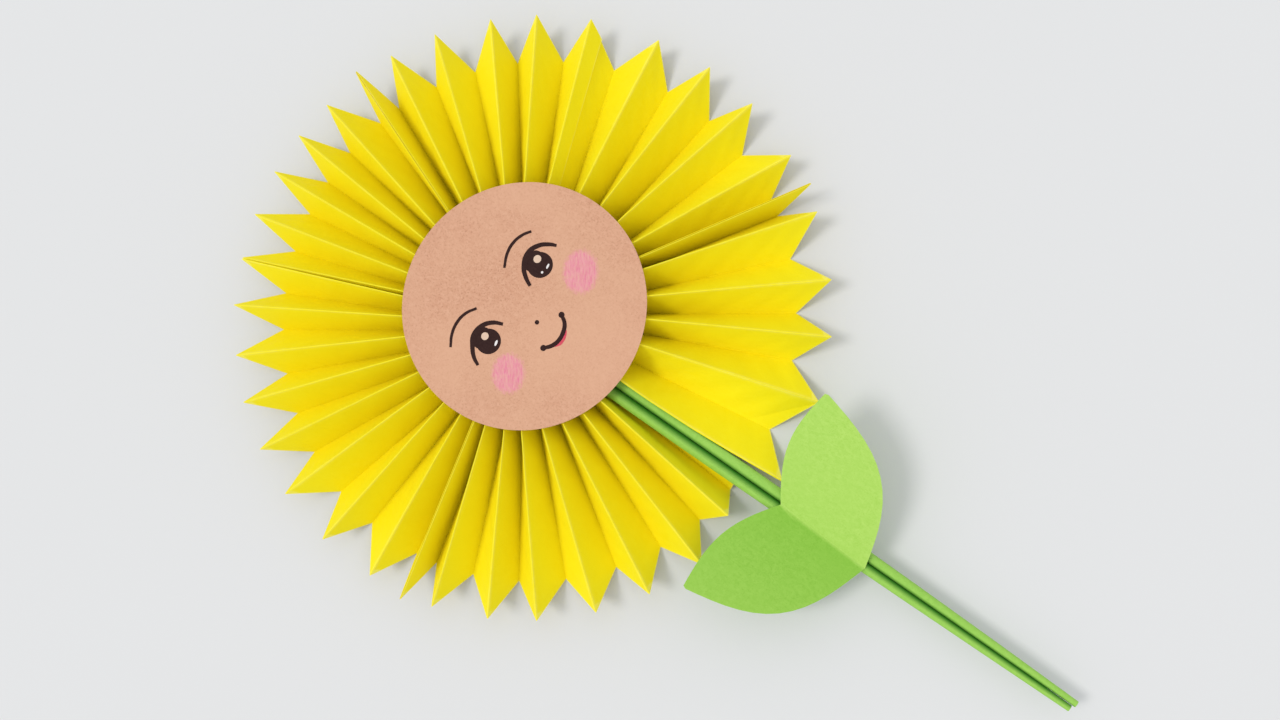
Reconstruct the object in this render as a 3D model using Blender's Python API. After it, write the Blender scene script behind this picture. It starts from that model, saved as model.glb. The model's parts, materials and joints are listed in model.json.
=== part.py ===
# Paper sunflower, lying face up.
# Three accordion-folded petal sheets, each bent round the hub and glued to itself, make the rosette.
# A card disc with a drawn face is glued on their crests. Two rolled paper tubes make the stem, tucked
# between the two open ends of the rosette, and one folded leaf pair is glued over the stem.
# Metres. +Z is up, towards the viewer, and the stem runs towards -Y.
import math

import bmesh
import bpy
from mathutils import Vector

MM = 0.001

# Papers and glue
PAPER = 0.25 * MM
CARD = 0.35 * MM
SEAT_GAP = 0.3 * MM

# Petal sheets: folded strips of one width, tips on one circle and notches on another
PLEAT_WIDTH = 16.5 * MM
TIP_REACH = 104.8 * MM
FIN_REACH = 106.0 * MM
NOTCH_REACH = 92.5 * MM
CLIPPED_TIP_REACH = 98.5 * MM
CLIPPED_RIDGE = 14
HUB_PITCH = 0.45 * MM
FIN_SLIT = 0.35 * MM
GLUE_STRIP = 6.5 * MM
GLUE_STRIP_START = 0.33
GLUE_STRIP_STUB = 0.5 * MM
OPEN_EDGE_BOW = 2.4 * MM

# Bearings in degrees, anticlockwise from +X. Each list gives how far every fold stands open from
# the sheet's glued fin, first fold next to the fin: odd places are valleys, even places are ridges.
RIGHT_FIN = 326.0
RIGHT_STEM_SIDE = [1.4, 5.0, 11.1, 17.7, 22.8, 28.2, 32.9, 40.0, 48.2, 55.8]
RIGHT_TOP_SIDE = [2.3, 6.9, 14.2, 19.1, 24.9, 30.0, 36.4, 41.6, 49.6, 55.3]
TOP_FIN = 69.3
TOP_RIGHT_SIDE = [2.2, 7.3, 12.0, 16.9, 21.5, 28.2, 31.4, 37.3, 41.9, 48.0]
TOP_LEFT_SIDE = [3.2, 8.6, 12.9, 16.7, 21.3, 25.2, 29.6, 34.4, 38.7, 43.5]
LEFT_FIN = 191.4
LEFT_TOP_SIDE = [3.2, 7.8, 15.4, 19.1, 25.4, 30.6, 36.3, 40.5, 45.9, 50.2, 55.2, 59.6, 65.3, 69.4, 73.6, 78.6]
LEFT_STEM_SIDE = [1.7, 5.9, 10.2, 16.5, 20.4, 25.7, 30.6, 36.7, 41.7, 47.1, 52.1, 58.0, 62.2, 67.6, 71.3, 73.0]

# Where each sheet is bent, measured from the rosette's middle
RIGHT_BEND = Vector((5.4 * MM, -3.6 * MM))
TOP_BEND = Vector((0.0, 6.5 * MM))
LEFT_BEND = Vector((-12.3 * MM, -2.3 * MM))

# Stations along a fold, from its tip to where it starts to bend, and steps round the bend
FOLD_STATIONS = [1.0, 0.91, 0.8, 0.66, 0.5, 0.38, 0.28, 0.0]
BEND_STEPS = 6

# Face disc
DISC_RADIUS = 42.6 * MM
DISC_SHIFT = 1.3 * MM
DISC_SIDES = 96
PRESS_DEPTH = 0.1 * MM

# Stem of two rolled tubes
STEM_LENGTH = 181.0 * MM
STEM_TUCK = 3.6 * MM
STEM_TOP_X = -4.5 * MM
STEM_TURN = 1.05
ROLL_RADIUS_TOP = 2.1 * MM
ROLL_RADIUS_TIP = 1.1 * MM
ROLL_PAPER = 0.16 * MM
ROLL_PITCH = 0.24 * MM
ROLL_TURNS = 2.6
ROLL_STEPS = 22
ROLL_STATIONS = 7
ROLL_SEAM = 20.0
ROLL_OFFSET = 1.0 * MM

# Leaf pair, cut from one folded sheet
LEAF_START = 108.8 * MM
LEAF_FOLD = 33.7 * MM
LEAF_SPAN = 41.4 * MM
LEAF_SWEEP = 9.0 * MM
LEAF_FRONT_BULGE = 5.0 * MM
LEAF_BACK_BULGE = 11.4 * MM
LEAF_TURN = 2.2
LEAF_SIDE = 0.5 * MM
LEAF_RISE_RIGHT = 26.0
LEAF_RISE_LEFT = 15.0
LEAF_ROWS = 14

# Drawn face, in millimetres from the disc's centre
PEN = 1.25
EYE_RADIUS = 4.5
EYES = [(14.5, 2.7), (-16.9, 2.9)]
EYE_SHINE = (1.0, 2.0, 1.45)
LASH = [(-8.3, -1.5), (-6.6, 1.5), (-3.8, 4.3), (-0.6, 5.7), (2.6, 5.3), (5.2, 3.4), (7.2, 0.5), (8.1, -1.5)]
BROWS = [[(7.3, 12.9), (11.4, 14.7), (15.5, 15.1), (19.4, 14.0), (22.5, 11.9)],
         [(-25.5, 13.0), (-21.7, 15.2), (-17.4, 16.0), (-13.4, 15.2), (-9.9, 13.1)]]
NOSE = (-2.2, -7.4)
NOSE_RADIUS = 0.75
SMILE = [(4.8, -13.0), (3.1, -15.2), (0.4, -16.6), (-3.2, -16.8), (-6.2, -15.7), (-8.2, -14.0)]
SMILE_DOT = 1.0
LIP = (-2.2, -16.9)
LIP_SIZE = (3.9, 1.5)
LIP_TURN = 8.0
CHEEKS = [(20.0, -10.4), (-22.1, -9.1)]
CHEEK_SIZE = (6.0, 7.2)
CHEEK_TURN = 34.0


def make_material(name, color, roughness):
    material = bpy.data.materials.new(name)
    material.use_nodes = True
    shader = material.node_tree.nodes["Principled BSDF"]
    shader.inputs["Base Color"].default_value = (*color, 1.0)
    shader.inputs["Roughness"].default_value = roughness
    shader.inputs["Metallic"].default_value = 0.0
    material.diffuse_color = (*color, 1.0)
    return material


def make_object(name, mesh, material):
    piece = bpy.data.objects.new(name, mesh)
    piece.data.materials.append(material)
    bpy.context.scene.collection.objects.link(piece)
    return piece


def mesh_from(name, points, faces):
    mesh = bpy.data.meshes.new(name)
    mesh.from_pydata(points, [], faces)
    shell = bmesh.new()
    shell.from_mesh(mesh)
    bmesh.ops.recalc_face_normals(shell, faces=shell.faces)
    shell.to_mesh(mesh)
    shell.free()
    return mesh


def polar(bearing, reach):
    angle = math.radians(bearing)
    return Vector((math.cos(angle), math.sin(angle))) * reach


# Petal sheets
def fold_reach(sheet, side, place):
    if place == 0:
        return FIN_REACH
    if side["clipped"] == place:
        return CLIPPED_TIP_REACH
    if side["strip"] and place == sheet["folds"]:
        return NOTCH_REACH
    return TIP_REACH if place % 2 == 0 else NOTCH_REACH


def bend_radius(place):
    return (PAPER + FIN_SLIT) / 2 + place * HUB_PITCH


def straight_run(sheet, turn, place):
    """Tip and tangent point of a fold on one side of its fin. turn is -1 clockwise, 1 anticlockwise."""
    side = sheet["sides"][turn]
    radius = bend_radius(place)
    reach = fold_reach(sheet, side, place)
    if place == 0:
        along = polar(sheet["fin"], 1.0)
        across = Vector((-along.y, along.x)) * turn
        return along * reach + across * radius, sheet["bend"] + across * radius
    tip = polar(sheet["fin"] + turn * side["open"][place - 1], reach)
    if side["inset"] and place == sheet["folds"]:
        tip -= tip.normalized().orthogonal() * side["inset"] * turn
    out = tip - sheet["bend"]
    swing = turn * math.acos(radius / out.length)
    rim = Vector((out.x * math.cos(swing) - out.y * math.sin(swing),
                  out.x * math.sin(swing) + out.y * math.cos(swing)))
    return tip, sheet["bend"] + rim.normalized() * radius


def gap_to_neighbour(point, run):
    tip, start = run
    along = (tip - start).normalized()
    away = point - start
    return abs(along.x * away.y - along.y * away.x)


def ridge_height(gaps):
    spread = math.sqrt(sum(gap * gap for gap in gaps) / len(gaps))
    return math.sqrt(max(PLEAT_WIDTH ** 2 - spread ** 2, (0.2 * PLEAT_WIDTH) ** 2)), spread


def wall_half(spread):
    """Half of a leaning panel's thickness, measured level."""
    return (PAPER / 2) * PLEAT_WIDTH / math.sqrt(PLEAT_WIDTH ** 2 - min(spread, 0.95 * PLEAT_WIDTH) ** 2)


def crease_depth(spread):
    """How far the inner corner of a fold lies from its outer one."""
    rise = math.sqrt(PLEAT_WIDTH ** 2 - min(spread, 0.95 * PLEAT_WIDTH) ** 2)
    return (2 * wall_half(spread) - PAPER / 2) * rise / max(spread, HUB_PITCH)


def run_stations(sheet, turn, place):
    """Stations of one fold on one side, tip first: plan point, outward normal, height, pleat spread."""
    side = sheet["sides"][turn]
    if side["covered"] and place == sheet["folds"]:
        return covered_edge(sheet, turn)
    tip, start = straight_run(sheet, turn, place)
    along = (tip - start).normalized()
    outward = Vector((-along.y, along.x)) * turn
    runs = [straight_run(sheet, turn, p) for p in (place - 1, place + 1) if 0 <= p <= sheet["folds"]]
    if side["joins"] and place == sheet["folds"]:
        other, far_turn = side["joins"]
        runs.append(straight_run(other, far_turn, other["folds"] - 1))
    stations = []
    for share in FOLD_STATIONS:
        point = start.lerp(tip, share)
        height, spread = ridge_height([max(gap_to_neighbour(point, run), HUB_PITCH) for run in runs])
        if side["bow"] and place == sheet["folds"]:
            point += outward * side["bow"] * math.sin(math.pi * share)
            spread += side["bow"] * math.sin(math.pi * share)
            height = math.sqrt(PLEAT_WIDTH ** 2 - spread ** 2)
        stations.append((point, outward, height, spread))
    return stations


def fold_stations(sheet, place):
    """Stations of one fold from its clockwise tip, round the bend, to its anticlockwise tip."""
    arriving = run_stations(sheet, -1, place)
    leaving = run_stations(sheet, 1, place)[::-1]
    radius = bend_radius(place)
    centre = sheet["bend"]
    first = arriving[-1][0] - centre
    last = leaving[0][0] - centre
    start_angle = math.atan2(first.y, first.x)
    sweep = (start_angle - math.atan2(last.y, last.x)) % (2 * math.pi)
    height, spread = ridge_height([HUB_PITCH])
    bend = []
    for step in range(1, BEND_STEPS):
        angle = start_angle - sweep * step / BEND_STEPS
        outward = Vector((math.cos(angle), math.sin(angle)))
        bend.append((centre + outward * radius, outward, height, spread))
    return arriving + bend + leaving


def covered_edge(sheet, turn):
    """Last edge tucked up between the upper sheet's glue strip and its last panel, free at the bend."""
    upper, upper_turn = sheet["sides"][turn]["joins"]
    tip, start = straight_run(sheet, turn, sheet["folds"])
    along = (tip - start).normalized()
    outward = Vector((-along.y, along.x)) * turn
    valley = straight_run(sheet, turn, sheet["folds"] - 1)
    upper_valley = straight_run(upper, upper_turn, upper["folds"] - 1)
    step_down = PAPER + SEAT_GAP
    stations = []
    for point, towards, height, spread in run_stations(upper, upper_turn, upper["folds"])[:-1]:
        lean = gap_to_neighbour(point, valley)
        slope = math.hypot(lean, height)
        depth = 2 * step_down * slope / (lean + gap_to_neighbour(point, upper_valley))
        point = point + towards * (lean * depth - step_down * slope) / height
        stations.append((point, outward, height - depth, gap_to_neighbour(point, valley)))
    height, spread = ridge_height([HUB_PITCH])
    stations.append((start, outward, height, spread))
    return stations


def strip_point(side, station, place, width):
    """Free edge of the glue strip beyond the last ridge, parallel to the panel that it is glued to."""
    point, outward, height, spread = station
    lean = max(spread, HUB_PITCH)
    drop = height
    if place is not None:
        other, far_turn = side["joins"]
        edge = run_stations(other, far_turn, other["folds"])[place]
        valley = straight_run(other, far_turn, other["folds"] - 1)
        lean = max(gap_to_neighbour(point, valley) - (edge[0] - point).dot(outward), HUB_PITCH)
        drop = edge[2]
    slant = Vector((lean, -drop)).normalized() * width
    return point + outward * slant.x, outward, height + slant.y, lean


def sheet_rows(sheet):
    """Every fold as a row of stations (plan point, outward normal, height, pleat spread)."""
    rows = [fold_stations(sheet, place) for place in range(sheet["folds"] + 1)]
    count = len(FOLD_STATIONS)
    last = rows[-1]
    for index, (point, outward, height, spread) in enumerate(last):
        turn = -1 if index < len(last) / 2 else 1
        side = sheet["sides"][turn]
        if side["strip"]:
            share = min(1.0, (index - count + 1) / BEND_STEPS) if turn == 1 else 1.0
            height += (side["strip"] - height) * share
        last[index] = (point, outward, height - side["sunk"], spread)
    if sheet["glue_strip"]:
        row = []
        for index, station in enumerate(last):
            turn = -1 if index < len(last) / 2 else 1
            place = min(index, len(last) - 1 - index)
            glued = place < count and FOLD_STATIONS[place] > GLUE_STRIP_START
            width = GLUE_STRIP if glued else crease_depth(station[3]) + GLUE_STRIP_STUB
            row.append(strip_point(sheet["sides"][turn], station, place if glued else None, width))
        tips = (0, len(row) - 1)
        for index in tips:
            inner = row[1 if index == 0 else index - 1]
            point, outward, height, spread = row[index]
            cut = (TIP_REACH - NOTCH_REACH) * GLUE_STRIP / PLEAT_WIDTH
            back = (inner[0] - point).normalized() * cut
            row[index] = (point + back, outward, height, spread)
        rows.append(row)
    return rows


def build_petal_sheet(name, sheet, material):
    rows = sheet_rows(sheet)
    last = len(rows) - 1
    points = []
    corners = []
    for index in range(len(rows[0])):
        ring = []
        for place, row in enumerate(rows):
            plan, outward, height, spread = row[index]
            ridge = place % 2 == 0
            free = place in (0, last)
            half = wall_half(spread) if free else PAPER / 2
            level = height if ridge or place > sheet["folds"] else 0.0
            spots = {"low": (plan - outward * half, level), "high": (plan + outward * half, level)}
            if not free:
                depth = crease_depth(spread)
                spots["in"] = (plan, level - depth if ridge else level + depth)
            ring.append({})
            for corner, (spot, z) in spots.items():
                ring[-1][corner] = len(points)
                points.append((spot.x, spot.y, z))
        corners.append(ring)

    def inner(ring, place, edge):
        return ring[place].get("in", ring[place][edge])

    def loop_of(ring):
        lower = [ring[0]["low"]]
        upper = [ring[0]["high"]]
        for place in range(1, last):
            chain, other = (lower, upper) if place % 2 else (upper, lower)
            chain += [ring[place]["low"], ring[place]["high"]]
            other.append(ring[place]["in"])
        ends = (ring[last]["low"], ring[last]["high"])
        lower.append(ends[last % 2 == 0])
        upper.append(ends[last % 2 == 1])
        return lower + upper[::-1]

    faces = []
    loops = [loop_of(ring) for ring in corners]
    lower_end = len(loops[0]) // 2
    for here, there in zip(loops, loops[1:]):
        for a in range(len(here)):
            b = (a + 1) % len(here)
            if a < lower_end:
                faces += [(here[a], here[b], there[b]), (here[a], there[b], there[a])]
            else:
                faces += [(here[a], here[b], there[a]), (here[b], there[b], there[a])]
    for ring in (corners[0], corners[-1]):
        for place in range(last):
            after = place + 1
            start = (ring[place]["high"], inner(ring, place, "low"))
            end = (inner(ring, after, "high"), ring[after]["low"])
            if after == last and last % 2 == 1:
                end = (ring[after]["high"], ring[after]["low"])
            faces.append((start[0], end[0], end[1], start[1]))
        for place in range(1, last):
            faces.append((ring[place]["low"], ring[place]["high"], ring[place]["in"]))
    return make_object(name, mesh_from(name, points, faces), material)


def side_of(openings, bow=0.0, strip=0.0, clipped=None):
    return {"open": openings, "bow": bow, "strip": strip, "clipped": clipped,
            "inset": 0.0, "sunk": 0.0, "covered": False, "joins": None}


def petal_sheet(fin, bend, clockwise, anticlockwise, glue_strip=False):
    return {"fin": fin, "bend": bend, "sides": {-1: clockwise, 1: anticlockwise},
            "folds": len(clockwise["open"]), "glue_strip": glue_strip}


def glue_over(upper, upper_turn, lower, lower_turn, strip_on_top):
    """Join two sheets at their last ridges, under the upper one's glue strip or over the lower one's."""
    upper["sides"][upper_turn]["joins"] = (lower, lower_turn)
    side = lower["sides"][lower_turn]
    side["joins"] = (upper, upper_turn)
    side["covered"] = strip_on_top
    if not strip_on_top:
        side["inset"] = side["sunk"] = PAPER + SEAT_GAP


# Stem: its line in plan, its height and the radius of its two tubes
def stem_top():
    edge = math.sqrt(DISC_RADIUS ** 2 - (STEM_TOP_X - DISC_SHIFT) ** 2)
    return Vector((STEM_TOP_X, STEM_TUCK - edge))


def stem_along():
    return polar(270.0 - STEM_TURN, 1.0)


def roll_radius(share):
    return ROLL_RADIUS_TOP + (ROLL_RADIUS_TIP - ROLL_RADIUS_TOP) * share ** 2


def roll_centre(distance, side):
    along = stem_along()
    across = Vector((-along.y, along.x)) * side
    radius = roll_radius(distance / STEM_LENGTH)
    return stem_top() + along * distance + across * (radius + SEAT_GAP / 2)


def stem_height(sheet):
    """Highest level at which the right tube still clears the open panel that leans over it."""
    edge = run_stations(sheet, -1, sheet["folds"])
    root_tip, root_start = straight_run(sheet, -1, sheet["folds"] - 1)
    levels = []
    for step in range(12):
        distance = STEM_TUCK + step * (TIP_REACH - DISC_RADIUS) / 14
        tube = roll_centre(distance, 1)
        row = [(station[0], station[2]) for station in edge]
        for (outer, outer_height), (nearer, nearer_height) in zip(row, row[1:]):
            if outer.y <= tube.y <= nearer.y:
                share = (tube.y - outer.y) / (nearer.y - outer.y)
                top = outer.lerp(nearer, share)
                top_height = outer_height + (nearer_height - outer_height) * share
                root = root_start.lerp(root_tip, (tube.y - root_start.y) / (root_tip.y - root_start.y))
                slope = Vector((top.x - root.x, top_height)).normalized()
                clear = roll_radius(distance / STEM_LENGTH) + SEAT_GAP + PAPER / 2
                levels.append(((root.x - tube.x) * slope.y - clear) / -slope.x)
    return min(levels)


def build_roll(name, side, level, length, material):
    """One rolled strip: a spiral wall, thinner towards the free end."""
    along = stem_along()
    across = Vector((-along.y, along.x))
    steps = round(ROLL_STEPS * ROLL_TURNS)
    points = []
    for station in range(ROLL_STATIONS):
        share = station / (ROLL_STATIONS - 1)
        centre = roll_centre(share * length, side)
        radius = roll_radius(share * length / STEM_LENGTH)
        for wall in (0.0, ROLL_PAPER):
            for step in range(steps + 1):
                angle = math.radians(270.0) - side * (math.radians(ROLL_SEAM) + 2 * math.pi * step / ROLL_STEPS)
                reach = radius - wall - ROLL_PITCH * step / ROLL_STEPS
                spot = centre + across * reach * math.cos(angle)
                points.append((spot.x, spot.y, level + reach * math.sin(angle)))
    ring = 2 * (steps + 1)
    faces = []
    for station in range(ROLL_STATIONS - 1):
        for a in range(ring):
            chain = a if a <= steps else ring + steps - a
            b = (a + 1) % ring
            after = b if b <= steps else ring + steps - b
            start = station * ring
            faces.append((start + chain, start + after, start + ring + after, start + ring + chain))
    for start in (0, (ROLL_STATIONS - 1) * ring):
        for step in range(steps):
            faces.append((start + step, start + step + 1, start + steps + 2 + step, start + steps + 1 + step))
    return make_object(name, mesh_from(name, points, faces), material)


# Leaf pair: two mirrored blades on one fold, each raised by its own angle
def blade_edge(start, end, bulge, share):
    chord = end - start
    out = Vector((chord.y, -chord.x)).normalized()
    return start.lerp(end, share) + out * bulge * math.sin(math.pi * share)


def leaf_fold_level(start, along, rises, level):
    """Lowest level at which both blades clear the tube under them, all along the fold."""
    levels = []
    for share in (0.0, 1.0):
        distance = (start + along * LEAF_FOLD * share - stem_top()).length
        radius = roll_radius(distance / STEM_LENGTH)
        for side, rise in rises.items():
            aside = abs(gap_to_neighbour(roll_centre(distance, side), (start + along, start)))
            clear = radius + SEAT_GAP + PAPER / 2
            levels.append(level + clear / math.cos(rise) - aside * math.tan(rise))
            levels.append(level + math.sqrt(max(clear ** 2 - aside ** 2, 0.0)))
    return max(levels)


def build_leaf_pair(material, stem_level):
    along = polar(270.0 - STEM_TURN - LEAF_TURN, 1.0)
    across = Vector((-along.y, along.x))
    stem_across = Vector((-stem_along().y, stem_along().x))
    start = stem_top() + stem_along() * (LEAF_START + stem_top().y) - stem_across * LEAF_SIDE
    tip = Vector((-LEAF_SWEEP, LEAF_SPAN))
    shares = [row / LEAF_ROWS for row in range(LEAF_ROWS)] + [0.985]
    points = []
    rows = []
    rises = {1: math.radians(LEAF_RISE_RIGHT), -1: math.radians(LEAF_RISE_LEFT)}
    mitre = (rises[1] + rises[-1]) / 2
    level = leaf_fold_level(start, along, rises, stem_level)
    for side in (1, -1):
        for share in shares[::-1] if side == 1 else shares[1:]:
            front = blade_edge(Vector((0.0, 0.0)), tip, -LEAF_FRONT_BULGE, share)
            back = blade_edge(Vector((LEAF_FOLD, 0.0)), tip, LEAF_BACK_BULGE, share)
            row = []
            for spot in (front, back):
                for face in (-0.5, 0.5):
                    if share == 0:
                        lean = (rises[1] - rises[-1]) / 2
                        shift = Vector((-math.sin(lean), math.cos(lean))) * face * PAPER / math.cos(mitre)
                    else:
                        shift = Vector((-side * math.sin(rises[side]), math.cos(rises[side]))) * face * PAPER
                    out = side * spot.y * math.cos(rises[side]) + shift.x
                    place = start + along * spot.x + across * out
                    row.append(len(points))
                    points.append((place.x, place.y, level + spot.y * math.sin(rises[side]) + shift.y))
            rows.append(row)
    faces = []
    for one, two in zip(rows, rows[1:]):
        for a, b in ((0, 1), (1, 3), (3, 2), (2, 0)):
            faces.append((one[a], one[b], two[b], two[a]))
    for row in (rows[0], rows[-1]):
        faces.append((row[0], row[1], row[3], row[2]))
    return make_object("leaf_pair", mesh_from("leaf_pair", points, faces), material)


# Face disc with its drawing pressed a little into the card
def smooth_line(knots, steps=4):
    """Points on a smooth curve through hand-placed knots."""
    line = []
    ends = [knots[0]] + knots + [knots[-1]]
    for a, b, c, d in zip(ends, ends[1:], ends[2:], ends[3:]):
        for step in range(steps):
            t = step / steps
            line.append(tuple(0.5 * (2 * b[i] + (c[i] - a[i]) * t + (2 * a[i] - 5 * b[i] + 4 * c[i] - d[i]) * t * t
                                     + (3 * b[i] - a[i] - 3 * c[i] + d[i]) * t ** 3) for i in (0, 1)))
    return [Vector(point) for point in line] + [Vector(knots[-1])]


def stroke_outline(knots, width):
    """Outline of a pen stroke with round ends."""
    line = smooth_line(knots)
    left = []
    right = []
    for index, point in enumerate(line):
        along = (line[min(index + 1, len(line) - 1)] - line[max(index - 1, 0)]).normalized()
        out = Vector((-along.y, along.x)) * width / 2
        left.append(point + out)
        right.append(point - out)
    caps = []
    for point, edge in ((line[-1], left[-1]), (line[0], right[0])):
        arm = edge - point
        cap = []
        for step in (1, 2, 3):
            angle = -math.pi * step / 4
            cap.append(point + Vector((arm.x * math.cos(angle) - arm.y * math.sin(angle),
                                       arm.x * math.sin(angle) + arm.y * math.cos(angle))))
        caps.append(cap)
    return left + caps[0] + right[::-1] + caps[1]


def oval_outline(centre, size, turn=0.0, sides=20):
    outline = []
    for step in range(sides):
        angle = 2 * math.pi * step / sides
        x, y = size[0] * math.cos(angle), size[1] * math.sin(angle)
        c, s = math.cos(math.radians(turn)), math.sin(math.radians(turn))
        outline.append(Vector((centre[0] + x * c - y * s, centre[1] + x * s + y * c)))
    return outline


def prism(name, outline, low, high, material):
    shell = bmesh.new()
    rim = [shell.verts.new((DISC_SHIFT + point.x * MM, point.y * MM, low)) for point in outline]
    base = shell.faces.new(rim)
    top = bmesh.ops.extrude_face_region(shell, geom=[base])
    raised = [item for item in top["geom"] if isinstance(item, bmesh.types.BMVert)]
    bmesh.ops.translate(shell, vec=(0.0, 0.0, high - low), verts=raised)
    bmesh.ops.recalc_face_normals(shell, faces=shell.faces)
    mesh = bpy.data.meshes.new(name)
    shell.to_mesh(mesh)
    shell.free()
    return make_object(name, mesh, material)


def cut_mark(target, name, outline, floor, top, material, islands=()):
    """Press one mark into the card. Islands are left proud, as the shine in an eye is."""
    cutter = prism(name, outline, floor, top + CARD, material)
    for number, island in enumerate(islands):
        peg = prism(f"{name}_shine_{number}", island, floor - CARD, top + 2 * CARD, material)
        bite = cutter.modifiers.new(peg.name, "BOOLEAN")
        bite.operation = "DIFFERENCE"
        bite.object = peg
        hide_cutter(peg)
    press = target.modifiers.new(name, "BOOLEAN")
    press.operation = "DIFFERENCE"
    press.object = cutter
    hide_cutter(cutter)


def hide_cutter(cutter):
    cutter.hide_render = True
    cutter.display_type = "WIRE"


def build_face_disc(materials):
    low = PLEAT_WIDTH + SEAT_GAP
    top = low + CARD
    radius = DISC_RADIUS / MM
    disc = prism("face_disc", oval_outline((0.0, 0.0), (radius, radius), 0.0, DISC_SIDES), low, top, materials["kraft"])
    for name in ("ink", "blush", "lip"):
        disc.data.materials.append(materials[name])
    floor = top - PRESS_DEPTH
    for number, centre in enumerate(CHEEKS):
        turn = CHEEK_TURN if number == 0 else CHEEK_TURN + 6.0
        outline = oval_outline(centre, CHEEK_SIZE, turn)
        cut_mark(disc, f"cheek_{number}", outline, top - 0.5 * PRESS_DEPTH, top, materials["blush"])
    cut_mark(disc, "lip", oval_outline(LIP, LIP_SIZE, LIP_TURN), floor, top, materials["lip"])
    cut_mark(disc, "smile", stroke_outline(SMILE, PEN), floor, top, materials["ink"])
    for number, centre in enumerate((SMILE[0], SMILE[-1])):
        outline = oval_outline(centre, (SMILE_DOT, SMILE_DOT), 0.0, 12)
        cut_mark(disc, f"smile_dot_{number}", outline, floor, top, materials["ink"])
    cut_mark(disc, "nose", oval_outline(NOSE, (NOSE_RADIUS, NOSE_RADIUS), 0.0, 12), floor, top, materials["ink"])
    for number, (x, y) in enumerate(EYES):
        shine = (x + EYE_SHINE[0], y + EYE_SHINE[1])
        island = oval_outline(shine, (EYE_SHINE[2], EYE_SHINE[2]), 0.0, 10)
        outline = oval_outline((x, y), (EYE_RADIUS, EYE_RADIUS))
        cut_mark(disc, f"eye_{number}", outline, floor, top, materials["ink"], [island])
        lash = [(x + dx, y + dy) for dx, dy in LASH]
        cut_mark(disc, f"lash_{number}", stroke_outline(lash, PEN), floor, top, materials["ink"])
        cut_mark(disc, f"brow_{number}", stroke_outline(BROWS[number], 0.8 * PEN), floor, top, materials["ink"])
    return disc


def centre_on_floor(pieces):
    """Stand the flower on z = 0 with the middle of its outline over the origin."""
    corners = [vertex.co for piece in pieces for vertex in piece.data.vertices]
    middle_x = (min(c.x for c in corners) + max(c.x for c in corners)) / 2
    middle_y = (min(c.y for c in corners) + max(c.y for c in corners)) / 2
    base = bpy.data.objects.new("sunflower", None)
    bpy.context.scene.collection.objects.link(base)
    base.location = (-middle_x, -middle_y, 0.0)
    for thing in bpy.context.scene.objects:
        if thing is not base:
            thing.parent = base


def main():
    for thing in list(bpy.data.objects):
        bpy.data.objects.remove(thing, do_unlink=True)
    materials = {
        "petal": make_material("petal_paper", (0.90, 0.72, 0.0), 0.75),
        "kraft": make_material("kraft_card", (0.70, 0.42, 0.26), 0.85),
        "ink": make_material("pen_ink", (0.05, 0.02, 0.02), 0.5),
        "blush": make_material("cheek_pencil", (0.78, 0.32, 0.42), 0.8),
        "lip": make_material("lip_pencil", (0.80, 0.09, 0.12), 0.7),
        "stem": make_material("stem_paper", (0.36, 0.68, 0.11), 0.7),
        "leaf": make_material("leaf_paper", (0.40, 0.70, 0.13), 0.75),
    }
    right = petal_sheet(RIGHT_FIN, RIGHT_BEND, side_of(RIGHT_STEM_SIDE, bow=OPEN_EDGE_BOW),
                        side_of(RIGHT_TOP_SIDE))
    level = stem_height(right)
    strip = level - ROLL_RADIUS_TOP - SEAT_GAP
    top = petal_sheet(TOP_FIN, TOP_BEND, side_of(TOP_RIGHT_SIDE), side_of(TOP_LEFT_SIDE), glue_strip=True)
    left = petal_sheet(LEFT_FIN, LEFT_BEND, side_of(LEFT_TOP_SIDE),
                       side_of(LEFT_STEM_SIDE, strip=strip, clipped=CLIPPED_RIDGE))
    glue_over(top, -1, right, 1, True)
    glue_over(left, -1, top, 1, False)
    pieces = [
        build_petal_sheet("petal_fan_right", right, materials["petal"]),
        build_petal_sheet("petal_fan_top", top, materials["petal"]),
        build_petal_sheet("petal_fan_left", left, materials["petal"]),
        build_face_disc(materials),
        build_roll("stem_roll_left", -1, level, STEM_LENGTH - ROLL_OFFSET, materials["stem"]),
        build_roll("stem_roll_right", 1, level, STEM_LENGTH, materials["stem"]),
        build_leaf_pair(materials["leaf"], level),
    ]
    centre_on_floor(pieces)


main()
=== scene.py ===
# Paper sunflower: a pleated yellow rosette with a drawn face, a rolled stem and a folded leaf pair.
import json
import math

import bpy
from mathutils import Matrix, Vector, noise

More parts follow.
